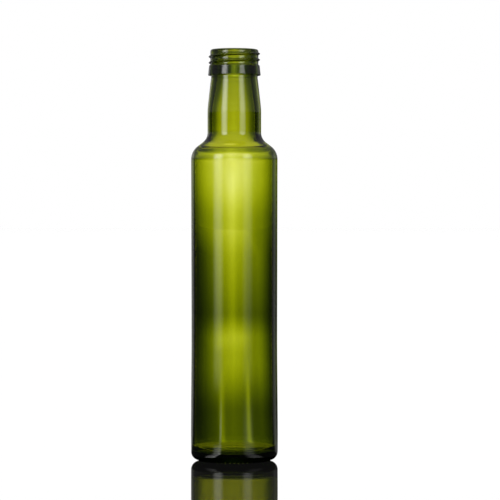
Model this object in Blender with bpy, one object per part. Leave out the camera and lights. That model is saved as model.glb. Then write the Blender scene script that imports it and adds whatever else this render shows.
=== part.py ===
"""A tall round oil bottle of green glass, empty and open at the top.

Units are metres and +Z is up. The origin is the middle of the foot, on the surface that the bottle
stands on. The glass is one turned wall, with a screw thread and a ring of foot pads fused to it.
"""

import math

import bmesh
import bpy
from mathutils import Matrix, Vector

MM = 0.001

# Heights above the standing surface
RIM_Z = 229.0 * MM
RING_TOP_Z = 220.5 * MM
RING_SHOULDER_Z = 219.9 * MM
RING_EDGE_Z = 214.5 * MM
NECK_STEP_Z = 212.3 * MM
NECK_TAPER_Z = 196.0 * MM
SHOULDER_TOP_Z = 179.3 * MM
SHOULDER_EDGE_Z = 172.3 * MM
WAIST_TOP_Z = 80.0 * MM
WAIST_BOTTOM_Z = 62.0 * MM
BASE_BAND_Z = 19.0 * MM
BEARING_Z = 0.4 * MM
PUSH_UP_Z = 4.6 * MM

# Outer radii
RIM_RADIUS = 13.4 * MM
RING_TOP_RADIUS = 14.1 * MM
RING_EDGE_RADIUS = 14.65 * MM
GROOVE_RADIUS = 12.95 * MM
NECK_TOP_RADIUS = 13.1 * MM
NECK_RADIUS = 14.85 * MM
BODY_TOP_RADIUS = 24.0 * MM
WAIST_RADIUS = 23.8 * MM
BASE_RADIUS = 24.2 * MM
PUSH_UP_RADIUS = 17.3 * MM

# Outer roundings
LIP_ROUND = 1.2 * MM
LIP_INNER_ROUND = 0.8 * MM
RING_ROUND = 0.4 * MM
GROOVE_ROUND = 0.3 * MM
NECK_TAPER_ROUND = 40.0 * MM
SHOULDER_TOP_ROUND = 7.0 * MM
SHOULDER_EDGE_ROUND = 9.0 * MM
BODY_ROUND = 900.0 * MM
HEEL_ROUND = 4.6 * MM
PUSH_UP_ROUND = 0.6 * MM
PUSH_UP_CLEAR = 1.2 * MM

# The hollow inside. FLOOR_Z is where the lines of wall and floor would meet without their rounding.
BORE_RADIUS = 9.3 * MM
BORE_BOTTOM_Z = 213.0 * MM
NECK_WALL = 2.8 * MM
SHOULDER_WALL = 1.8 * MM
BODY_WALL = 2.3 * MM
BORE_TAPER_ROUND = 15.0 * MM
SHOULDER_INNER_ROUND = 8.0 * MM
SHOULDER_BEND_INSET = 1.6 * MM
SHOULDER_BEND_TILT = math.radians(28.0)
SHOULDER_BEND_ROUND = 1.5 * MM
FLOOR_Z = 3.2 * MM
FLOOR_TOP_Z = 7.6 * MM
FLOOR_ROUND = 4.5 * MM
FLOOR_CLEAR = 9.0 * MM

# Screw thread, right handed, counted from +X
THREAD_PITCH = 3.35 * MM
THREAD_CREST_RADIUS = 14.3 * MM
THREAD_WIDTH = 2.0 * MM
THREAD_SINK = 0.6 * MM
THREAD_FLANK_LIFT = 0.8
THREAD_FLANK_HALF = 0.6
THREAD_CREST_HALF = 0.2
THREAD_START_DEG = 130.0
THREAD_END_DEG = 785.0
THREAD_FADE_DEG = 40.0
THREAD_START_Z = 221.1 * MM

# Pads round the foot
PAD_COUNT = 48
PAD_INNER_RADIUS = 17.8 * MM
PAD_OUTER_RADIUS = 20.2 * MM
PAD_WIDTH = 1.5 * MM
PAD_FOOT_SHARE = 0.75
PAD_SINK = 0.5 * MM

# Mesh density
SPIN_STEPS = 48
DOME_STEPS = 4
CHORD_TOLERANCE = 0.08 * MM
SMOOTH_ANGLE = math.radians(30.0)
WELD = 0.001 * MM

GLASS_COLOUR = (0.40, 0.44, 0.03, 1.0)
GLASS_ROUGHNESS = 0.03
GLASS_IOR = 1.52


def rounded(corners):
    """Points along straight runs between corners (radius, z, rounding), each corner turned into an arc."""
    points = []
    for before, corner, after in zip([None] + corners[:-1], corners, corners[1:] + [None]):
        place = Vector(corner[:2])
        if corner[2] == 0.0:
            points.append(place)
            continue
        way_in = (place - Vector(before[:2])).normalized()
        way_out = (Vector(after[:2]) - place).normalized()
        turn = way_in.angle_signed(way_out)
        start = place - way_in * corner[2] * math.tan(abs(turn) / 2.0)
        widest_step = 2.0 * math.acos(1.0 - CHORD_TOLERANCE / corner[2])
        steps = math.ceil(abs(turn) / widest_step)
        # A positive angle_signed is a clockwise turn, so the arc's middle lies to the right of the way in.
        side = math.copysign(1.0, turn)
        middle = start + Vector((way_in.y, -way_in.x)) * side * corner[2]
        for step in range(steps + 1):
            swing = Matrix.Rotation(-turn * step / steps, 2)
            points.append(middle + swing @ (start - middle))
    return points


def dome(rim_radius, rim_z, top_z, clear):
    """Corners of a shallow ball-shaped dome, from its top on the axis out to this clear of its rim."""
    rise = top_z - rim_z
    ball = (rim_radius**2 + rise**2) / (2.0 * rise)
    corners = []
    for step in range(DOME_STEPS + 1):
        radius = (rim_radius - clear) * step / DOME_STEPS
        corners.append((radius, top_z - ball + math.sqrt(ball**2 - radius**2), 0.0))
    return corners


def outer_corners():
    """The outside, from the push-up under the foot to the lip's outer edge."""
    return [
        *dome(PUSH_UP_RADIUS, BEARING_Z, PUSH_UP_Z, PUSH_UP_CLEAR),
        (PUSH_UP_RADIUS, BEARING_Z, PUSH_UP_ROUND),
        (BASE_RADIUS, BEARING_Z, HEEL_ROUND),
        (BASE_RADIUS, BASE_BAND_Z, BODY_ROUND),
        (WAIST_RADIUS, WAIST_BOTTOM_Z, BODY_ROUND),
        (WAIST_RADIUS, WAIST_TOP_Z, BODY_ROUND),
        (BODY_TOP_RADIUS, SHOULDER_EDGE_Z, SHOULDER_EDGE_ROUND),
        (NECK_RADIUS, SHOULDER_TOP_Z, SHOULDER_TOP_ROUND),
        (NECK_RADIUS, NECK_TAPER_Z, NECK_TAPER_ROUND),
        (NECK_TOP_RADIUS, NECK_STEP_Z, 0.0),
        (GROOVE_RADIUS, NECK_STEP_Z, 0.0),
        (GROOVE_RADIUS, RING_EDGE_Z, GROOVE_ROUND),
        (RING_EDGE_RADIUS, RING_EDGE_Z, GROOVE_ROUND),
        (RING_TOP_RADIUS, RING_SHOULDER_Z, RING_ROUND),
        (RIM_RADIUS, RING_TOP_Z, RING_ROUND),
        (RIM_RADIUS, RIM_Z, LIP_ROUND),
    ]


def inner_corners():
    """The hollow, from the lip's inner edge down to the middle of the floor."""
    neck_bore = NECK_RADIUS - NECK_WALL
    body_bore = BODY_TOP_RADIUS - BODY_WALL
    # The sloping wall of the shoulder keeps its thickness, so its inner line is the outer one moved in.
    slope = Vector((BODY_TOP_RADIUS - NECK_RADIUS, SHOULDER_EDGE_Z - SHOULDER_TOP_Z)).normalized()
    moved_in = Vector((NECK_RADIUS, SHOULDER_TOP_Z)) + Vector((slope.y, -slope.x)) * SHOULDER_WALL
    fall = slope.y / slope.x
    neck_end_z = moved_in.y + (neck_bore - moved_in.x) * fall
    # Inside, the shoulder meets the body in two bends: a tight one, then a wide one like the outside's.
    bend_radius = body_bore - SHOULDER_BEND_INSET
    bend_z = moved_in.y + (bend_radius - moved_in.x) * fall
    body_end_z = bend_z - SHOULDER_BEND_INSET / math.tan(SHOULDER_BEND_TILT)
    floor = dome(BASE_RADIUS - BODY_WALL, FLOOR_Z, FLOOR_TOP_Z, FLOOR_CLEAR)
    return [
        (BORE_RADIUS, RIM_Z, LIP_INNER_ROUND),
        (BORE_RADIUS, BORE_BOTTOM_Z, BORE_TAPER_ROUND),
        (neck_bore, NECK_TAPER_Z, NECK_TAPER_ROUND),
        (neck_bore, neck_end_z, SHOULDER_TOP_ROUND + SHOULDER_WALL),
        (bend_radius, bend_z, SHOULDER_BEND_ROUND),
        (body_bore, body_end_z, SHOULDER_INNER_ROUND),
        (WAIST_RADIUS - BODY_WALL, WAIST_TOP_Z, BODY_ROUND),
        (WAIST_RADIUS - BODY_WALL, WAIST_BOTTOM_Z, BODY_ROUND),
        (BASE_RADIUS - BODY_WALL, BASE_BAND_Z, BODY_ROUND),
        (BASE_RADIUS - BODY_WALL, FLOOR_Z, FLOOR_ROUND),
        *reversed(floor),
    ]


def wall_mesh():
    """The turned glass wall: the outer and inner outlines as one line, spun round the axis."""
    outline = rounded(outer_corners() + inner_corners())
    mesh_data = bmesh.new()
    points = [mesh_data.verts.new((point.x, 0.0, point.y)) for point in outline]
    edges = [mesh_data.edges.new(pair) for pair in zip(points, points[1:])]
    bmesh.ops.spin(
        mesh_data,
        geom=points + edges,
        axis=(0.0, 0.0, 1.0),
        cent=(0.0, 0.0, 0.0),
        angle=2.0 * math.pi,
        steps=SPIN_STEPS,
        use_merge=True,
    )
    bmesh.ops.remove_doubles(mesh_data, verts=mesh_data.verts, dist=WELD)
    return finished(mesh_data, "glass_wall")


def thread_section(turned_deg):
    """The thread's cross-section (radius, height) at this angle from its start. It sinks away at both ends."""
    length = THREAD_END_DEG - THREAD_START_DEG
    fade = min(1.0, turned_deg / THREAD_FADE_DEG, (length - turned_deg) / THREAD_FADE_DEG)
    lift = math.sin(fade * math.pi / 2.0) * (THREAD_CREST_RADIUS - RIM_RADIUS + THREAD_SINK)
    bottom = RIM_RADIUS - THREAD_SINK
    half = THREAD_WIDTH / 2.0
    middle = THREAD_START_Z + THREAD_PITCH * turned_deg / 360.0
    return [
        (bottom - THREAD_SINK, middle - half),
        (bottom, middle - half),
        (bottom + lift * THREAD_FLANK_LIFT, middle - half * THREAD_FLANK_HALF),
        (bottom + lift, middle - half * THREAD_CREST_HALF),
        (bottom + lift, middle + half * THREAD_CREST_HALF),
        (bottom + lift * THREAD_FLANK_LIFT, middle + half * THREAD_FLANK_HALF),
        (bottom, middle + half),
        (bottom - THREAD_SINK, middle + half),
    ]


def thread_mesh():
    """The screw thread, one ridge that climbs to the right as seen from outside."""
    mesh_data = bmesh.new()
    turned = THREAD_END_DEG - THREAD_START_DEG
    steps = round(turned / 360.0 * SPIN_STEPS)
    rings = []
    for step in range(steps + 1):
        turned_deg = turned * step / steps
        angle = math.radians(THREAD_START_DEG + turned_deg)
        ring = [
            mesh_data.verts.new((radius * math.cos(angle), radius * math.sin(angle), height))
            for radius, height in thread_section(turned_deg)
        ]
        rings.append(ring)
    count = len(rings[0])
    for ring, following in zip(rings, rings[1:]):
        for index in range(count):
            beside = (index + 1) % count
            mesh_data.faces.new((ring[index], ring[beside], following[beside], following[index]))
    mesh_data.faces.new(rings[0])
    mesh_data.faces.new(rings[-1])
    return finished(mesh_data, "thread_ridge")


def pad_mesh():
    """One foot pad at the origin: a short bar along X whose sides draw in towards its flat foot."""
    length = PAD_OUTER_RADIUS - PAD_INNER_RADIUS
    height = BEARING_Z + PAD_SINK
    mesh_data = bmesh.new()
    bmesh.ops.create_cube(mesh_data, size=1.0)
    for vert in mesh_data.verts:
        share = PAD_FOOT_SHARE if vert.co.z < 0.0 else 1.0
        vert.co.x *= length * share
        vert.co.y *= PAD_WIDTH * share
        vert.co.z = height * (vert.co.z + 0.5)
    return finished(mesh_data, "foot_pad")


def finished(mesh_data, name):
    """The mesh of this name, its faces pointing out."""
    bmesh.ops.recalc_face_normals(mesh_data, faces=mesh_data.faces)
    mesh = bpy.data.meshes.new(name)
    mesh_data.to_mesh(mesh)
    mesh_data.free()
    return mesh


def relief_objects(collection):
    """The thread and the foot pads, as the objects that are to be fused to the wall."""
    collection.objects.link(bpy.data.objects.new("thread", thread_mesh()))
    pad = pad_mesh()
    middle = (PAD_INNER_RADIUS + PAD_OUTER_RADIUS) / 2.0
    for index in range(PAD_COUNT):
        copy = bpy.data.objects.new(f"pad_{index:02d}", pad)
        turn = Matrix.Rotation(2.0 * math.pi * (index + 0.5) / PAD_COUNT, 4, "Z")
        copy.matrix_world = turn @ Matrix.Translation((middle, 0.0, 0.0))
        collection.objects.link(copy)


def fuse(target, collection):
    """Joins the collection's objects to the target as one body, and removes them."""
    join = target.modifiers.new("join_relief", "BOOLEAN")
    join.operation = "UNION"
    join.operand_type = "COLLECTION"
    join.collection = collection
    join.solver = "EXACT"
    graph = bpy.context.evaluated_depsgraph_get()
    joined = bpy.data.meshes.new_from_object(target.evaluated_get(graph))
    target.modifiers.clear()
    target.data = joined
    for obj in list(collection.objects):
        bpy.data.objects.remove(obj)
    bpy.data.collections.remove(collection)


def glass_material():
    """Olive green clear glass."""
    material = bpy.data.materials.new("olive_glass")
    material.use_nodes = True
    shader = material.node_tree.nodes["Principled BSDF"]
    shader.inputs["Base Color"].default_value = GLASS_COLOUR
    shader.inputs["Roughness"].default_value = GLASS_ROUGHNESS
    shader.inputs["IOR"].default_value = GLASS_IOR
    shader.inputs["Metallic"].default_value = 0.0
    shader.inputs["Transmission Weight"].default_value = 1.0
    return material


def build_bottle():
    """The whole bottle, one piece of glass."""
    bottle = bpy.data.objects.new("bottle", wall_mesh())
    bpy.context.scene.collection.objects.link(bottle)
    relief = bpy.data.collections.new("relief")
    bpy.context.scene.collection.children.link(relief)
    relief_objects(relief)
    fuse(bottle, relief)
    bottle.data.name = "bottle"
    bottle.data.materials.clear()
    bottle.data.materials.append(glass_material())
    bottle.data.shade_smooth()
    bottle.data.set_sharp_from_angle(angle=SMOOTH_ANGLE)


def main():
    for obj in list(bpy.data.objects):
        bpy.data.objects.remove(obj)
    build_bottle()


main()
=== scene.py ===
import math

import bpy
import numpy as np
from mathutils import Matrix, Vector, noise


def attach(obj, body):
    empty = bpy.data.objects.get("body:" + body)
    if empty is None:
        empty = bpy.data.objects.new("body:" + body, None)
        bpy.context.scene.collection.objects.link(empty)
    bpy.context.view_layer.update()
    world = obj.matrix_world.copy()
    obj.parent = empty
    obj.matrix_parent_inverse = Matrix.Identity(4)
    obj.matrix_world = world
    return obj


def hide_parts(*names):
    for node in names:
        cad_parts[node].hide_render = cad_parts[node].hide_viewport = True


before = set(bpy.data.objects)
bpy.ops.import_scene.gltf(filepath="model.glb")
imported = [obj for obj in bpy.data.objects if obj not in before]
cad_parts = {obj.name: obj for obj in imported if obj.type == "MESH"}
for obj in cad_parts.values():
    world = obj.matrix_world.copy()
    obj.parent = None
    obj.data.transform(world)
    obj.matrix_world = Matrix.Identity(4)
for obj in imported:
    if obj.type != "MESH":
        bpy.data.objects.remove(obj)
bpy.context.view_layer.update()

MM = 0.001

# Heights above the standing surface
RIM_Z = 229.0 * MM
RING_TOP_Z = 220.5 * MM
RING_SHOULDER_Z = 219.9 * MM
RING_EDGE_Z = 214.5 * MM
NECK_STEP_Z = 212.3 * MM
NECK_TAPER_Z = 196.0 * MM
SHOULDER_TOP_Z = 179.3 * MM
SHOULDER_EDGE_Z = 172.3 * MM
WAIST_TOP_Z = 80.0 * MM
WAIST_BOTTOM_Z = 62.0 * MM
BASE_BAND_Z = 19.0 * MM
BEARING_Z = 0.4 * MM
PUSH_UP_Z = 4.6 * MM

# Outer radii. The base band stays just inside the frame, so that the seam fits too.
RIM_RADIUS = 13.4 * MM
RING_TOP_RADIUS = 14.1 * MM
RING_EDGE_RADIUS = 14.65 * MM
GROOVE_RADIUS = 12.95 * MM
NECK_TOP_RADIUS = 13.1 * MM
NECK_RADIUS = 14.85 * MM
BODY_TOP_RADIUS = 24.0 * MM
WAIST_RADIUS = 23.8 * MM
BASE_RADIUS = 24.13 * MM
PUSH_UP_RADIUS = 17.3 * MM

# Outer roundings
LIP_ROUND = 1.2 * MM
LIP_INNER_ROUND = 0.8 * MM
RING_ROUND = 0.4 * MM
GROOVE_ROUND = 0.3 * MM
STEP_ROUND = 0.07 * MM
NECK_TAPER_ROUND = 40.0 * MM
SHOULDER_TOP_ROUND = 7.0 * MM
SHOULDER_EDGE_ROUND = 9.0 * MM
BODY_ROUND = 900.0 * MM
HEEL_ROUND = 4.6 * MM
PUSH_UP_ROUND = 0.6 * MM
PUSH_UP_CLEAR = 1.2 * MM

# The hollow inside. FLOOR_Z is where the lines of wall and floor would meet without their rounding.
BORE_RADIUS = 9.3 * MM
BORE_BOTTOM_Z = 213.0 * MM
NECK_WALL = 2.8 * MM
SHOULDER_WALL = 1.8 * MM
BODY_WALL = 2.3 * MM
BORE_TAPER_ROUND = 15.0 * MM
SHOULDER_INNER_ROUND = 8.0 * MM
SHOULDER_BEND_INSET = 1.6 * MM
SHOULDER_BEND_TILT = math.radians(28.0)
SHOULDER_BEND_ROUND = 1.5 * MM
FLOOR_Z = 3.2 * MM
FLOOR_TOP_Z = 7.6 * MM
FLOOR_ROUND = 4.5 * MM
FLOOR_CLEAR = 9.0 * MM

# Screw thread, right handed, counted from +X
THREAD_PITCH = 3.35 * MM
THREAD_HEIGHT = 0.93 * MM
THREAD_HALF_WIDTH = 0.95 * MM
THREAD_START_DEG = 130.0
THREAD_END_DEG = 785.0
THREAD_FADE_DEG = 40.0
THREAD_START_Z = 221.1 * MM

# Pads round the foot. The two shares are of the way from one pad to the next.
PAD_COUNT = 48
PAD_INNER_RADIUS = 17.8 * MM
PAD_OUTER_RADIUS = 20.3 * MM
PAD_EDGE = 0.45 * MM
PAD_SHARE = 0.56
PAD_SIDE_SHARE = 0.16

# Mesh density
TURN_STEPS = 288
DOME_STEPS = 10
ARC_STEP = math.radians(6.0)
SHORT_ARC_STEP = math.radians(22.5)
SHORT_ARC = 0.5 * MM

# The longest step along the outline in each zone, and the short step at both ends of a long run
THREAD_STEP = 0.17 * MM
FOOT_STEP = 0.24 * MM
WALL_STEP = 9.0 * MM
FOOT_ZONE_Z = 0.9 * MM
LONG_RUN = 1.7 * MM
BEND_STEP = 0.15 * MM

# Unevenness of blown glass: how far the hollow lies off the middle, and the soft waves of both skins
HOLLOW_OFFSET = 0.28 * MM
HOLLOW_WAVE = 0.12 * MM
SKIN_WAVE = 0.02 * MM
WAVE_LENGTH = 30.0 * MM
WAVE_STRETCH = 2.5
SKIN_SEED = 0.0
HOLLOW_SEED = 5.0

# The two mould seams
SEAM_HEIGHT = 0.05 * MM
SEAM_HALF_WIDTH_DEG = 0.95

# The camera, which looks along +Y with the bottle a little left of the picture's middle
PICTURE_WIDTH = 278.65 * MM
CAMERA_DISTANCE = 1450.0 * MM
CAMERA_HEIGHT = 131.4 * MM
CAMERA_SIDE = 8.7 * MM
AIM_HEIGHT = 117.3 * MM
SENSOR_WIDTH = 36.0

# Clear olive glass: the tint of its surface, and the colour that its depth lets through
GLASS_TINT = (0.95, 0.97, 0.80, 1.0)
GLASS_DEPTH_TINT = (0.6425, 0.7075, 0.0, 1.0)
GLASS_DENSITY = 400.0
GLASS_IOR = 1.52

# Plain white light, and the tones of the light that comes through the glass
WHITE = (1.0, 1.0, 1.0, 1.0)
RED_GAIN = 1.06
RED_POWER = 1.12
BLUE_GAIN = 0.17
BLUE_POWER = 4.8

# The light panels that show through the glass. One stands behind the bottle and one in front, with
# weaker ones at the sides. Each is a wide soft panel with a brighter core and a thin line in its middle.
QUARTER = math.pi / 2.0
SIDE_PANEL_START = (0.45 * QUARTER, 0.55 * QUARTER)
SIDE_PANEL_SHARE = 0.5
PANEL_SHIFT = math.radians(2.0)
PANEL_FALL = math.radians(11.0)
LOW_PANEL_SHIFT = math.radians(1.0)
LOW_PANEL_FALL = math.radians(20.0)
CORE_WIDTH = math.radians(2.6)
LINE_WIDTH = math.radians(0.55)
PANEL_LEVEL = 0.5
LOW_PANEL_LEVEL = 0.7
CORE_LEVEL = 0.45
LINE_LEVEL = 0.18

# Further up, the panels are evenly bright across, and warmer
HIGH_EDGE = (math.radians(3.5), math.radians(14.0))
HIGH_SHIFT = math.radians(0.7)
HIGH_LEVEL = 0.47
HIGH_WIDE_LEVEL = 0.4
HIGH_FALL = math.radians(20.0)
HIGH_WARMTH = 1.06

# How high the panels reach above the horizon, and where the pale ceiling starts
HORIZON_SHARE = 0.15
LOW_PANEL_RISE = (0.0, math.radians(1.2))
LOW_PANEL_TOP = (math.radians(1.5), math.radians(2.2))
LINE_TOP = (math.radians(0.8), math.radians(1.5))
HIGH_RISE = (math.radians(1.2), math.radians(2.0))
PANEL_TOP = (math.radians(16.0), math.radians(21.0))
CEILING_START = (math.radians(35.0), math.radians(45.0))
CEILING_LEVEL = 0.7

# What the floor shows through the glass, painted as its own glow: a painted reflection of the panels far
# off, and a painted lit stretch of table.
# A place on the floor is 0 at the bottle, 0.5 at HALF_WAY in metres and 1 at the horizon. Nearer than
# about SQUEEZE in metres, the panels widen towards the bottle.
HALF_WAY = 1.45
SQUEEZE = 0.25
FLOOR_SHIFTS = (math.radians(5.0), math.radians(2.0))
FLOOR_FALLS = (math.radians(7.0), math.radians(12.0))
HORIZON_PLACES = (0.85, 1.0)
FAR_START = 0.55
NEAR_LEVEL = 0.2
FAR_PANEL_LEVEL = 0.54
FAR_CORE_LEVEL = 0.66
TABLE_RISE = (0.2, 0.44)
TABLE_EDGE = (0.51, 0.63)
TABLE_PANEL_LEVEL = 0.35
TABLE_CORE_LEVEL = 0.4
EDGE_RISE = (0.44, 0.52)
EDGE_LEVEL = 0.2
LINE_START = (0.5, 0.6)

# A glow at both sides of the far core, a narrow slit of light at both sides further down, and more
# light all over at the foot
LEFT_GLOW_SHIFT = math.radians(-1.6)
RIGHT_GLOW_SHIFT = math.radians(1.5)
LEFT_GLOW_LEVEL = 0.13
RIGHT_GLOW_LEVEL = 0.07
GLOW_WIDTH = math.radians(0.6)
GLOW_RISE = (0.42, 0.52)
GLOW_END_SHARE = 0.4
LEFT_SLIT_SHIFT = math.radians(-1.2)
RIGHT_SLIT_SHIFT = math.radians(2.2)
LEFT_SLIT_LEVEL = 0.22
RIGHT_SLIT_LEVEL = 0.3
SLIT_WIDTH = math.radians(0.35)
SLIT_END = (0.25, 0.45)
FOOT_GLOW_PLACES = (0.07, 0.11)
FOOT_GLOW_LEVELS = (1.25, 1.0)

# The tall strip lights that the bottle mirrors, two in front and two behind, by the azimuth from the
# front. STRIP_TOP and REAR_TOP are the height where they end, as its sine. The ambient light is the
# same all round, and brighter from a little above the horizon.
LEFT_STRIP = math.radians(-44.0)
RIGHT_STRIP = math.radians(36.0)
REAR_LEFT_STRIP = math.radians(-152.0)
REAR_RIGHT_STRIP = math.radians(136.0)
STRIP_CORE = math.radians(4.0)
STRIP_EDGE = math.radians(18.0)
LEFT_LEVELS = (2.0, 6.0)
RIGHT_LEVELS = (0.8, 3.6)
REAR_LEFT_LEVEL = 0.35
REAR_RIGHT_LEVEL = 0.2
STRIP_RISE = (0.0, math.radians(4.0))
STRIP_TOP = (0.35, 0.6)
REAR_TOP = (0.15, 0.3)
AMBIENT_RISE = (math.radians(2.8), math.radians(3.6))
AMBIENT_LEVELS = (0.02, 0.2)

# The same strips as painted reflections on the floor, and the thin and short painted ones that show low on
# the bottle
FLOOR_STRIP_RISE = (0.4, 1.0)
FLOOR_STRIP_START = (0.33, 0.44)
FLOOR_LEFT_LEVELS = (0.45, 1.8)
FLOOR_RIGHT_LEVELS = (0.15, 0.75)
THIN_AZIMUTH = math.radians(-35.0)
THIN_EDGE = math.radians(5.0)
THIN_END = (0.15, 0.4)
LEFT_THIN_LEVEL = 1.2
RIGHT_THIN_LEVEL = 0.4
FOOT_AZIMUTH = math.radians(-41.0)
FOOT_EDGE = math.radians(13.0)
FOOT_START = (0.0172, 0.0186)
FOOT_END = (0.07, 0.1)
LEFT_FOOT_LEVEL = 1.2
RIGHT_FOOT_LEVEL = 0.15

# The floor, with its mirror's brightness and a faint painted glow, an emission added over what it mirrors
# that lifts its darkest parts
FLOOR_SIZE = 200.0
FLOOR_WHITE = 0.85
FLOOR_MIRROR = 0.25
FLOOR_ROUGHNESS = 0.015
FLOOR_PAINTED_GLOW = 0.004

# How much of the floor's light is gloss, from straight above (0) to the lowest angle (1)
GLOSS_STOPS = ((0.0, 0.04), (0.5, 0.08), (0.72, 0.25), (0.8, 0.6), (0.88, 0.987), (1.0, 0.997))


def rounded(corners):
    """Points along straight runs between corners (radius, z, rounding), each corner turned into an arc."""
    points = []
    for before, corner, after in zip([None] + corners[:-1], corners, corners[1:] + [None]):
        place = Vector(corner[:2])
        rounding = corner[2]
        if rounding == 0.0:
            points.append(place)
            continue
        way_in = (place - Vector(before[:2])).normalized()
        way_out = (Vector(after[:2]) - place).normalized()
        turn = way_in.angle_signed(way_out)
        start = place - way_in * rounding * math.tan(abs(turn) / 2.0)
        steps = math.ceil(abs(turn) / (SHORT_ARC_STEP if rounding < SHORT_ARC else ARC_STEP))
        side = math.copysign(1.0, turn)
        middle = start + Vector((way_in.y, -way_in.x)) * side * rounding
        for step in range(steps + 1):
            swing = Matrix.Rotation(-turn * step / steps, 2)
            points.append(middle + swing @ (start - middle))
    return points


def dome(rim_radius, rim_z, top_z, clear):
    """Corners of a shallow ball-shaped dome, from its top on the axis out to this clear of its rim."""
    rise = top_z - rim_z
    ball = (rim_radius**2 + rise**2) / (2.0 * rise)
    corners = []
    for step in range(DOME_STEPS + 1):
        radius = (rim_radius - clear) * step / DOME_STEPS
        corners.append((radius, top_z - ball + math.sqrt(ball**2 - radius**2), 0.0))
    return corners


def outer_corners():
    """The outside, from the push-up under the foot to the lip's outer edge."""
    return [
        *dome(PUSH_UP_RADIUS, BEARING_Z, PUSH_UP_Z, PUSH_UP_CLEAR),
        (PUSH_UP_RADIUS, BEARING_Z, PUSH_UP_ROUND),
        (BASE_RADIUS, BEARING_Z, HEEL_ROUND),
        (BASE_RADIUS, BASE_BAND_Z, BODY_ROUND),
        (WAIST_RADIUS, WAIST_BOTTOM_Z, BODY_ROUND),
        (WAIST_RADIUS, WAIST_TOP_Z, BODY_ROUND),
        (BODY_TOP_RADIUS, SHOULDER_EDGE_Z, SHOULDER_EDGE_ROUND),
        (NECK_RADIUS, SHOULDER_TOP_Z, SHOULDER_TOP_ROUND),
        (NECK_RADIUS, NECK_TAPER_Z, NECK_TAPER_ROUND),
        (NECK_TOP_RADIUS, NECK_STEP_Z, STEP_ROUND),
        (GROOVE_RADIUS, NECK_STEP_Z, STEP_ROUND),
        (GROOVE_RADIUS, RING_EDGE_Z, GROOVE_ROUND),
        (RING_EDGE_RADIUS, RING_EDGE_Z, GROOVE_ROUND),
        (RING_TOP_RADIUS, RING_SHOULDER_Z, RING_ROUND),
        (RIM_RADIUS, RING_TOP_Z, RING_ROUND),
        (RIM_RADIUS, RIM_Z, LIP_ROUND),
    ]


def inner_corners():
    """The hollow, from the lip's inner edge down to the middle of the floor."""
    neck_bore = NECK_RADIUS - NECK_WALL
    body_bore = BODY_TOP_RADIUS - BODY_WALL
    slope = Vector((BODY_TOP_RADIUS - NECK_RADIUS, SHOULDER_EDGE_Z - SHOULDER_TOP_Z)).normalized()
    moved_in = Vector((NECK_RADIUS, SHOULDER_TOP_Z)) + Vector((slope.y, -slope.x)) * SHOULDER_WALL
    fall = slope.y / slope.x
    neck_end_z = moved_in.y + (neck_bore - moved_in.x) * fall
    bend_radius = body_bore - SHOULDER_BEND_INSET
    bend_z = moved_in.y + (bend_radius - moved_in.x) * fall
    body_end_z = bend_z - SHOULDER_BEND_INSET / math.tan(SHOULDER_BEND_TILT)
    floor = dome(BASE_RADIUS - BODY_WALL, FLOOR_Z, FLOOR_TOP_Z, FLOOR_CLEAR)
    return [
        (BORE_RADIUS, RIM_Z, LIP_INNER_ROUND),
        (BORE_RADIUS, BORE_BOTTOM_Z, BORE_TAPER_ROUND),
        (neck_bore, NECK_TAPER_Z, NECK_TAPER_ROUND),
        (neck_bore, neck_end_z, SHOULDER_TOP_ROUND + SHOULDER_WALL),
        (bend_radius, bend_z, SHOULDER_BEND_ROUND),
        (body_bore, body_end_z, SHOULDER_INNER_ROUND),
        (WAIST_RADIUS - BODY_WALL, WAIST_TOP_Z, BODY_ROUND),
        (WAIST_RADIUS - BODY_WALL, WAIST_BOTTOM_Z, BODY_ROUND),
        (BASE_RADIUS - BODY_WALL, BASE_BAND_Z, BODY_ROUND),
        (BASE_RADIUS - BODY_WALL, FLOOR_Z, FLOOR_ROUND),
        *reversed(floor),
    ]


def outer_step(start, end):
    """How long a step along the outside may be between these two points."""
    if min(start.y, end.y) > RING_SHOULDER_Z:
        return THREAD_STEP
    if max(start.y, end.y) < FOOT_ZONE_Z and max(start.x, end.x) > PUSH_UP_RADIUS:
        return FOOT_STEP
    return WALL_STEP


def stepped(points, step_of):
    """The same line with more points, none further apart than step_of allows, and one close to each bend."""
    finer = [points[0]]
    for start, end in zip(points, points[1:]):
        length = (end - start).length
        inset = BEND_STEP if length > LONG_RUN else 0.0
        run = length - 2.0 * inset
        count = max(1, math.ceil(run / step_of(start, end)))
        stops = [run * index / count for index in range(1, count + 1)]
        if inset > 0.0:
            stops = [inset, *(inset + stop for stop in stops), length]
        finer.extend(start.lerp(end, stop / length) for stop in stops)
    return finer


def smooth(value):
    """A smooth rise from 0 to 1 as value goes from 0 to 1."""
    value = np.clip(value, 0.0, 1.0)
    return value * value * (3.0 - 2.0 * value)


def thread_lift(angles, height):
    """How far the thread stands out of the wall at each angle, at this height."""
    lift = np.zeros_like(angles)
    length = THREAD_END_DEG - THREAD_START_DEG
    from_start = (np.degrees(angles) - THREAD_START_DEG) % 360.0
    for turn in range(math.ceil(length / 360.0)):
        along = from_start + 360.0 * turn
        middle = THREAD_START_Z + THREAD_PITCH * along / 360.0
        across = np.abs(height - middle) / THREAD_HALF_WIDTH
        fade = smooth(np.minimum(along, length - along) / THREAD_FADE_DEG)
        lift = np.maximum(lift, smooth(1.0 - across) * THREAD_HEIGHT * fade)
    return lift


def pad_share(angles, radius):
    """How much of the way down to the standing surface the foot reaches: 1 on a pad, 0 between two."""
    from_middle = np.abs(angles / (2.0 * math.pi) * PAD_COUNT % 1.0 - 0.5)
    across = smooth((PAD_SHARE / 2.0 + PAD_SIDE_SHARE / 2.0 - from_middle) / PAD_SIDE_SHARE)
    along = smooth((radius - PAD_INNER_RADIUS) / PAD_EDGE) * smooth((PAD_OUTER_RADIUS - radius) / PAD_EDGE)
    return across * along


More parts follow.
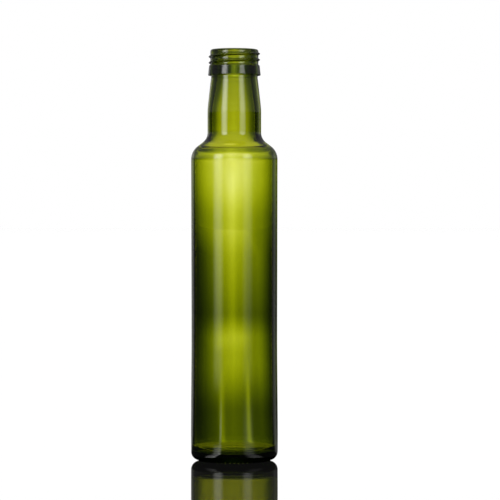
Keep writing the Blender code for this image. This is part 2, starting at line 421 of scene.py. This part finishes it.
def seam_lift(angles):
    """How far the two mould seams stand out at each angle, at the left and the right."""
    off_seam = np.abs((np.degrees(angles) + 90.0) % 180.0 - 90.0)
    return SEAM_HEIGHT * smooth(1.0 - off_seam / (2.0 * SEAM_HALF_WIDTH_DEG))


def waves(angles, point, seed):
    """Soft unevenness from -1 to 1 round the ring at this point of the outline, long up and down."""
    return np.array(
        [
            noise.noise(
                Vector(
                    (
                        point.x * math.cos(angle) / WAVE_LENGTH + seed,
                        point.x * math.sin(angle) / WAVE_LENGTH,
                        point.y / (WAVE_LENGTH * WAVE_STRETCH),
                    )
                )
            )
            for angle in angles
        ]
    )


def outer_ring(point, angles):
    """Radius and height round one ring of the outside, with its thread, seams, waves and pads."""
    radius = np.full_like(angles, point.x)
    height = np.full_like(angles, point.y)
    if point.y > RING_SHOULDER_Z:
        radius = radius + thread_lift(angles, point.y)
    elif point.y > FOOT_ZONE_Z:
        on_wall = smooth((point.y - FOOT_ZONE_Z) / (BASE_BAND_Z - FOOT_ZONE_Z))
        on_wall = on_wall * smooth((RING_EDGE_Z - point.y) / (RING_EDGE_Z - NECK_TAPER_Z))
        lift = seam_lift(angles) + waves(angles, point, SKIN_SEED) * SKIN_WAVE
        radius = radius + lift * on_wall
    elif point.x > PUSH_UP_RADIUS:
        height = height * (1.0 - pad_share(angles, point.x))
    return radius, height


def inner_ring(point, angles):
    """Radius and height round one ring of the hollow, which lies a little off the middle and is wavy."""
    off_lip = smooth((RIM_Z - point.y) / (RIM_Z - NECK_TAPER_Z))
    off_axis = smooth(point.x / BORE_RADIUS)
    shift = HOLLOW_OFFSET * np.cos(angles) + HOLLOW_WAVE * waves(angles, point, HOLLOW_SEED)
    radius = point.x - shift * off_lip * off_axis
    return radius, np.full_like(angles, point.y)


def bottle_mesh():
    """The whole bottle as one closed skin: rings of points from the push-up over the lip to the floor."""
    outline = rounded(outer_corners() + inner_corners())
    lip = max(range(len(outline)), key=lambda index: outline[index].y)
    outside = stepped(outline[: lip + 1], outer_step)
    inside = stepped(outline[lip:], lambda start, end: WALL_STEP)
    angles = np.arange(TURN_STEPS) * (2.0 * math.pi / TURN_STEPS)
    rings = [outer_ring(point, angles) for point in outside[1:]]
    rings += [inner_ring(point, angles) for point in inside[1:-1]]
    points = [(0.0, 0.0, outside[0].y)]
    for radius, height in rings:
        points.extend(zip(radius * np.cos(angles), radius * np.sin(angles), height))
    points.append((0.0, 0.0, inside[-1].y))
    faces = []
    for step in range(TURN_STEPS):
        beside = (step + 1) % TURN_STEPS
        faces.append((0, 1 + beside, 1 + step))
        for ring in range(len(rings) - 1):
            low = 1 + ring * TURN_STEPS
            high = low + TURN_STEPS
            faces.append((low + step, low + beside, high + beside, high + step))
        last = 1 + (len(rings) - 1) * TURN_STEPS
        faces.append((last + step, last + beside, len(points) - 1))
    mesh = bpy.data.meshes.new("bottle_glass")
    mesh.from_pydata(points, [], faces)
    mesh.shade_smooth()
    return mesh


def glass_material():
    """Clear olive glass: a faint tint at the surface, and a deep one that grows with its thickness."""
    material = bpy.data.materials.new("olive_glass")
    material.use_nodes = True
    tree = material.node_tree
    shader = tree.nodes["Principled BSDF"]
    shader.inputs["Base Color"].default_value = GLASS_TINT
    shader.inputs["Roughness"].default_value = 0.0
    shader.inputs["IOR"].default_value = GLASS_IOR
    shader.inputs["Transmission Weight"].default_value = 1.0
    absorb = tree.nodes.new("ShaderNodeVolumeAbsorption")
    absorb.inputs["Color"].default_value = GLASS_DEPTH_TINT
    absorb.inputs["Density"].default_value = GLASS_DENSITY
    tree.links.new(absorb.outputs["Volume"], tree.nodes["Material Output"].inputs["Volume"])
    return material


def make_bottle():
    """The bottle in place of its solid."""
    bottle = bpy.data.objects.new("bottle_glass", bottle_mesh())
    bpy.context.scene.collection.objects.link(bottle)
    bottle.data.materials.append(glass_material())
    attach(bottle, "root")
    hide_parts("bottle")


class Nodes:
    """Short ways to add nodes to one node tree."""

    def __init__(self, tree):
        self.tree = tree
        tree.nodes.clear()

    def add(self, kind, inputs=(), **settings):
        """A node with these settings. inputs pairs each input's name or index with a value or an output."""
        node = self.tree.nodes.new(kind)
        for name, value in settings.items():
            setattr(node, name, value)
        for name, value in inputs:
            if isinstance(value, bpy.types.NodeSocket):
                self.tree.links.new(value, node.inputs[name])
            else:
                node.inputs[name].default_value = value
        return node

    def math(self, operation, *values):
        """The output of one Math node."""
        return self.add("ShaderNodeMath", enumerate(values), operation=operation).outputs[0]

    def total(self, *values):
        """The sum of several values."""
        result = values[0]
        for value in values[1:]:
            result = self.math("ADD", result, value)
        return result

    def product(self, *values):
        """The product of several values."""
        result = values[0]
        for value in values[1:]:
            result = self.math("MULTIPLY", result, value)
        return result

    def curve(self, value, stops):
        """The output of a smooth curve through stops, pairs of a value and a level from 0 to 1."""
        node = self.add("ShaderNodeFloatCurve", [("Value", value)])
        line = node.mapping.curves[0]
        while len(line.points) < len(stops):
            line.points.new(0.5, 0.5)
        for point, stop in zip(line.points, stops):
            point.location = stop
        node.mapping.update()
        return node.outputs[0]

    def ramp(self, value, places, levels, shape="SMOOTHSTEP"):
        """The first level up to the first place, the second one from the second place on."""
        inputs = [("Value", value)]
        inputs += zip(("From Min", "From Max", "To Min", "To Max"), (*places, *levels))
        return self.add("ShaderNodeMapRange", inputs, interpolation_type=shape).outputs[0]

    def mix(self, share, first, second):
        """The output of a Mix Shader."""
        node = self.add("ShaderNodeMixShader", [(0, share), (1, first), (2, second)])
        return node.outputs[0]

    def glass_rays(self):
        """1 for rays that came through glass, and 1 for those that the bottle mirrors."""
        path = self.add("ShaderNodeLightPath").outputs
        through = self.math("GREATER_THAN", path["Transmission Depth"], 0.5)
        mirrored = self.product(path["Is Singular Ray"], self.math("SUBTRACT", 1.0, through))
        return through, mirrored

    def tint(self, level, warmth):
        """Light of this level, neutral where it is bright and olive where it fades."""
        red = self.product(RED_GAIN, warmth, self.math("POWER", level, RED_POWER))
        blue = self.product(BLUE_GAIN, self.math("POWER", level, BLUE_POWER))
        node = self.add("ShaderNodeCombineColor", [("Red", red), ("Green", level), ("Blue", blue)])
        return node.outputs[0]


def bump(nodes, near, middle, width):
    """A soft bump of height 1 round middle."""
    across = nodes.math("DIVIDE", nodes.math("SUBTRACT", near, middle), width)
    return nodes.math("EXPONENT", nodes.product(across, across, -1.0))


def tail(nodes, near, middle, fall):
    """1 at middle, and less and less to both sides."""
    side = nodes.math("ABSOLUTE", nodes.math("SUBTRACT", near, middle))
    return nodes.math("EXPONENT", nodes.math("DIVIDE", side, nodes.product(fall, -1.0)))


def from_panel(nodes, azimuth):
    """The azimuth from the nearest panel, and that panel's brightness."""
    near = nodes.math("WRAP", azimuth, QUARTER / 2.0, -QUARTER / 2.0)
    from_main = nodes.math("PINGPONG", azimuth, QUARTER)
    share = nodes.ramp(from_main, SIDE_PANEL_START, (1.0, SIDE_PANEL_SHARE))
    return near, share


def sky_panels(nodes, azimuth, height):
    """The panels above the horizon, at this azimuth and height."""
    near, share = from_panel(nodes, azimuth)
    up = nodes.ramp(height, PANEL_TOP, (1.0, 0.0))
    low_rise = nodes.ramp(height, LOW_PANEL_RISE, (HORIZON_SHARE, 1.0))
    low = nodes.product(low_rise, nodes.ramp(height, LOW_PANEL_TOP, (1.0, 0.0)))
    panel_level = nodes.ramp(height, HIGH_RISE, (PANEL_LEVEL, HIGH_WIDE_LEVEL))
    core_level = nodes.ramp(height, HIGH_RISE, (CORE_LEVEL, 0.0))
    high_level = nodes.ramp(height, HIGH_RISE, (0.0, HIGH_LEVEL))
    off_middle = nodes.math("ABSOLUTE", nodes.math("SUBTRACT", near, HIGH_SHIFT))
    fall = nodes.ramp(height, HIGH_RISE, (PANEL_FALL, HIGH_FALL))
    light = nodes.total(
        nodes.product(up, panel_level, tail(nodes, near, PANEL_SHIFT, fall)),
        nodes.product(low, LOW_PANEL_LEVEL, tail(nodes, near, LOW_PANEL_SHIFT, LOW_PANEL_FALL)),
        nodes.product(up, core_level, bump(nodes, near, 0.0, CORE_WIDTH)),
        nodes.product(up, high_level, nodes.ramp(off_middle, HIGH_EDGE, (1.0, 0.0))),
        nodes.product(nodes.ramp(height, LINE_TOP, (LINE_LEVEL, 0.0)), bump(nodes, near, 0.0, LINE_WIDTH)),
        nodes.ramp(height, CEILING_START, (0.0, CEILING_LEVEL)),
    )
    return nodes.product(light, share)


def floor_panels(nodes, azimuth, distance, place):
    """The painted light that the floor gives off for rays through the glass, at this azimuth and distance.
    """
    near, share = from_panel(nodes, azimuth)
    near = nodes.product(near, nodes.math("DIVIDE", distance, nodes.total(distance, SQUEEZE)))
    far = nodes.ramp(place, (FAR_START, 1.0), (NEAR_LEVEL, 1.0), "LINEAR")
    table_end = nodes.ramp(place, TABLE_EDGE, (1.0, 0.0))
    table = nodes.product(nodes.ramp(place, TABLE_RISE, (0.0, 1.0)), table_end)
    edge = nodes.product(nodes.ramp(place, EDGE_RISE, (0.0, EDGE_LEVEL)), table_end)
    wide = nodes.total(nodes.product(far, FAR_PANEL_LEVEL), nodes.product(table, TABLE_PANEL_LEVEL))
    core = nodes.total(nodes.product(far, FAR_CORE_LEVEL), nodes.product(table, TABLE_CORE_LEVEL), edge)
    shift = nodes.ramp(place, HORIZON_PLACES, FLOOR_SHIFTS)
    fall = nodes.ramp(place, HORIZON_PLACES, FLOOR_FALLS)
    line = nodes.ramp(place, LINE_START, (0.0, LINE_LEVEL))
    glow_end = nodes.ramp(place, HORIZON_PLACES, (1.0, GLOW_END_SHARE))
    glow = nodes.product(nodes.ramp(place, GLOW_RISE, (0.0, 1.0)), glow_end)
    slit = nodes.ramp(place, SLIT_END, (1.0, 0.0))
    light = nodes.total(
        nodes.product(wide, tail(nodes, near, shift, fall)),
        nodes.product(core, bump(nodes, near, 0.0, CORE_WIDTH)),
        nodes.product(line, bump(nodes, near, 0.0, LINE_WIDTH)),
        nodes.product(glow, LEFT_GLOW_LEVEL, bump(nodes, near, LEFT_GLOW_SHIFT, GLOW_WIDTH)),
        nodes.product(glow, RIGHT_GLOW_LEVEL, bump(nodes, near, RIGHT_GLOW_SHIFT, GLOW_WIDTH)),
        nodes.product(slit, LEFT_SLIT_LEVEL, bump(nodes, near, LEFT_SLIT_SHIFT, SLIT_WIDTH)),
        nodes.product(slit, RIGHT_SLIT_LEVEL, bump(nodes, near, RIGHT_SLIT_SHIFT, SLIT_WIDTH)),
    )
    return nodes.product(light, share, nodes.ramp(place, FOOT_GLOW_PLACES, FOOT_GLOW_LEVELS))


def strip_light(nodes, azimuth, ambient, strips):
    """What the bottle mirrors at this azimuth. A strip is its middle, core, edge and level."""
    parts = [ambient]
    for middle, core, edge, level in strips:
        turned = nodes.math("WRAP", nodes.math("SUBTRACT", azimuth, middle), math.pi, -math.pi)
        inside = nodes.ramp(nodes.math("ABSOLUTE", turned), (core, edge), (1.0, 0.0))
        parts.append(nodes.product(inside, level))
    return nodes.total(*parts)


def sky_strips(nodes, azimuth, height, z):
    """The strip lights above the horizon, brighter further up."""
    top = nodes.ramp(z, STRIP_TOP, (1.0, 0.0))
    left = nodes.product(nodes.ramp(height, STRIP_RISE, LEFT_LEVELS), top)
    right = nodes.product(nodes.ramp(height, STRIP_RISE, RIGHT_LEVELS), top)
    strips = [
        (LEFT_STRIP, STRIP_CORE, STRIP_EDGE, left),
        (RIGHT_STRIP, STRIP_CORE, STRIP_EDGE, right),
        (REAR_LEFT_STRIP, STRIP_CORE, STRIP_EDGE, nodes.ramp(z, REAR_TOP, (REAR_LEFT_LEVEL, 0.0))),
        (REAR_RIGHT_STRIP, STRIP_CORE, STRIP_EDGE, nodes.ramp(z, REAR_TOP, (REAR_RIGHT_LEVEL, 0.0))),
    ]
    return strip_light(nodes, azimuth, nodes.ramp(height, AMBIENT_RISE, AMBIENT_LEVELS), strips)


def floor_strips(nodes, azimuth, place):
    """The strip lights painted on the floor as its reflection of them, with the thin one and the short ones
    at the foot.
    """
    start = nodes.ramp(place, FLOOR_STRIP_START, (0.0, 1.0))
    left = nodes.product(nodes.ramp(place, FLOOR_STRIP_RISE, FLOOR_LEFT_LEVELS, "LINEAR"), start)
    right = nodes.product(nodes.ramp(place, FLOOR_STRIP_RISE, FLOOR_RIGHT_LEVELS, "LINEAR"), start)
    right_foot = nodes.ramp(place, FOOT_END, (RIGHT_FOOT_LEVEL, 0.0))
    right_low = nodes.ramp(place, THIN_END, (RIGHT_THIN_LEVEL, 0.0))
    strips = [
        (LEFT_STRIP, STRIP_CORE, STRIP_EDGE, left),
        (RIGHT_STRIP, STRIP_CORE, STRIP_EDGE, nodes.total(right, right_foot, right_low)),
        (REAR_LEFT_STRIP, STRIP_CORE, STRIP_EDGE, REAR_LEFT_LEVEL),
        (REAR_RIGHT_STRIP, STRIP_CORE, STRIP_EDGE, REAR_RIGHT_LEVEL),
        (FOOT_AZIMUTH, STRIP_CORE, FOOT_EDGE, nodes.ramp(place, FOOT_END, (LEFT_FOOT_LEVEL, 0.0))),
        (THIN_AZIMUTH, 0.0, THIN_EDGE, nodes.ramp(place, THIN_END, (LEFT_THIN_LEVEL, 0.0))),
    ]
    shine = strip_light(nodes, azimuth, AMBIENT_LEVELS[0], strips)
    return nodes.product(shine, nodes.ramp(place, FOOT_START, (0.0, 1.0)))


def studio_world():
    """A white surround for the picture, and the panels and strips that the glass shows.

    For the floor's mirror the surround is brighter by as much as that mirror is dim, so it stays white.
    """
    world = bpy.data.worlds.new("studio")
    world.use_nodes = True
    world.cycles.sampling_method = "NONE"
    bpy.context.scene.world = world
    nodes = Nodes(world.node_tree)
    through, mirrored = nodes.glass_rays()
    direction = nodes.add("ShaderNodeTexCoord").outputs["Generated"]
    x, y, z = nodes.add("ShaderNodeSeparateXYZ", [(0, direction)]).outputs
    height = nodes.math("ARCSINE", z)
    warmth = nodes.ramp(height, HIGH_RISE, (1.0, HIGH_WARMTH))
    light = nodes.tint(sky_panels(nodes, nodes.math("ARCTAN2", x, y), height), warmth)
    from_front = nodes.math("ARCTAN2", x, nodes.product(y, -1.0))
    shine = sky_strips(nodes, from_front, height, z)
    glossy = nodes.add("ShaderNodeLightPath").outputs["Is Glossy Ray"]
    surround = nodes.ramp(glossy, (0.0, 1.0), (1.0, 1.0 / FLOOR_MIRROR))
    white = nodes.add("ShaderNodeBackground", [("Color", WHITE), ("Strength", surround)]).outputs[0]
    behind = nodes.add("ShaderNodeBackground", [("Color", light)]).outputs[0]
    strips = nodes.add("ShaderNodeBackground", [("Color", WHITE), ("Strength", shine)]).outputs[0]
    surface = nodes.mix(mirrored, nodes.mix(through, white, behind), strips)
    nodes.add("ShaderNodeOutputWorld", [("Surface", surface)])


def floor_material():
    """Plain and pale, and glossy at a low angle. For rays through the bottle's glass or mirrored by it, the
    floor glows with painted panels and strips in place of reflections.
    """
    material = bpy.data.materials.new("pale_floor")
    material.use_nodes = True
    nodes = Nodes(material.node_tree)
    through, mirrored = nodes.glass_rays()
    position = nodes.add("ShaderNodeNewGeometry").outputs["Position"]
    x, y, _ = nodes.add("ShaderNodeSeparateXYZ", [(0, position)]).outputs
    distance = nodes.math("SQRT", nodes.total(nodes.product(x, x), nodes.product(y, y)))
    place = nodes.math("DIVIDE", distance, nodes.total(distance, HALF_WAY))
    light = nodes.tint(floor_panels(nodes, nodes.math("ARCTAN2", x, y), distance, place), 1.0)
    # Painted reflection: the floor glows with the panels for rays that came through the glass
    glow = nodes.add("ShaderNodeEmission", [("Color", light)]).outputs[0]
    from_front = nodes.math("ARCTAN2", x, nodes.product(y, -1.0))
    shine = floor_strips(nodes, from_front, place)
    # Painted reflection: the floor glows with the strip lights for rays that the bottle mirrors
    strips = nodes.add("ShaderNodeEmission", [("Color", WHITE), ("Strength", shine)]).outputs[0]
    floor_white = (FLOOR_WHITE, FLOOR_WHITE, FLOOR_WHITE, 1.0)
    pale = nodes.add("ShaderNodeBsdfDiffuse", [("Color", floor_white)]).outputs[0]
    mirror_tone = (FLOOR_MIRROR, FLOOR_MIRROR, FLOOR_MIRROR, 1.0)
    gloss = [("Color", mirror_tone), ("Roughness", FLOOR_ROUGHNESS)]
    image = nodes.add("ShaderNodeBsdfGlossy", gloss).outputs[0]
    # Painted glow: a faint emission added to the floor's mirror, so the shadowed floor under the foot is not
    # black
    painted_glow = nodes.add("ShaderNodeEmission", [("Color", WHITE), ("Strength", FLOOR_PAINTED_GLOW)]).outputs[0]
    mirror = nodes.add("ShaderNodeAddShader", [(0, image), (1, painted_glow)]).outputs[0]
    facing = nodes.add("ShaderNodeLayerWeight").outputs["Facing"]
    low_angle = nodes.curve(facing, GLOSS_STOPS)
    sheen = nodes.mix(mirrored, nodes.mix(through, mirror, glow), strips)
    share = nodes.math("MAXIMUM", low_angle, mirrored)
    nodes.add("ShaderNodeOutputMaterial", [("Surface", nodes.mix(share, pale, sheen))])
    return material


def make_floor():
    """One wide square, level with the bottle's foot."""
    mesh = bpy.data.meshes.new("floor")
    half = FLOOR_SIZE / 2.0
    corners = [(-half, -half, 0.0), (half, -half, 0.0), (half, half, 0.0), (-half, half, 0.0)]
    mesh.from_pydata(corners, [], [(0, 1, 2, 3)])
    mesh.materials.append(floor_material())
    floor = bpy.data.objects.new("floor", mesh)
    bpy.context.scene.collection.objects.link(floor)


def make_camera():
    """The camera at the photo's angle: a little above the bottle's middle, looking slightly down."""
    data = bpy.data.cameras.new("camera")
    data.sensor_width = SENSOR_WIDTH
    data.lens = SENSOR_WIDTH * CAMERA_DISTANCE / PICTURE_WIDTH
    data.clip_start = 0.05
    data.clip_end = 100.0
    camera = bpy.data.objects.new("camera", data)
    place = Vector((CAMERA_SIDE, -CAMERA_DISTANCE, CAMERA_HEIGHT))
    aim = Vector((CAMERA_SIDE, 0.0, AIM_HEIGHT))
    camera.location = place
    camera.rotation_mode = "QUATERNION"
    camera.rotation_quaternion = (aim - place).to_track_quat("-Z", "Y")
    bpy.context.scene.collection.objects.link(camera)
    bpy.context.scene.camera = camera


def set_rendering():
    """Light paths deep enough for two glass walls seen through each other, and plain tones."""
    scene = bpy.context.scene
    scene.view_settings.view_transform = "Standard"
    scene.cycles.max_bounces = 32
    scene.cycles.transmission_bounces = 28
    scene.cycles.glossy_bounces = 16
    scene.cycles.use_denoising = True
    scene.cycles.sample_clamp_indirect = 10.0


make_camera()
make_bottle()
make_floor()
studio_world()
set_rendering()
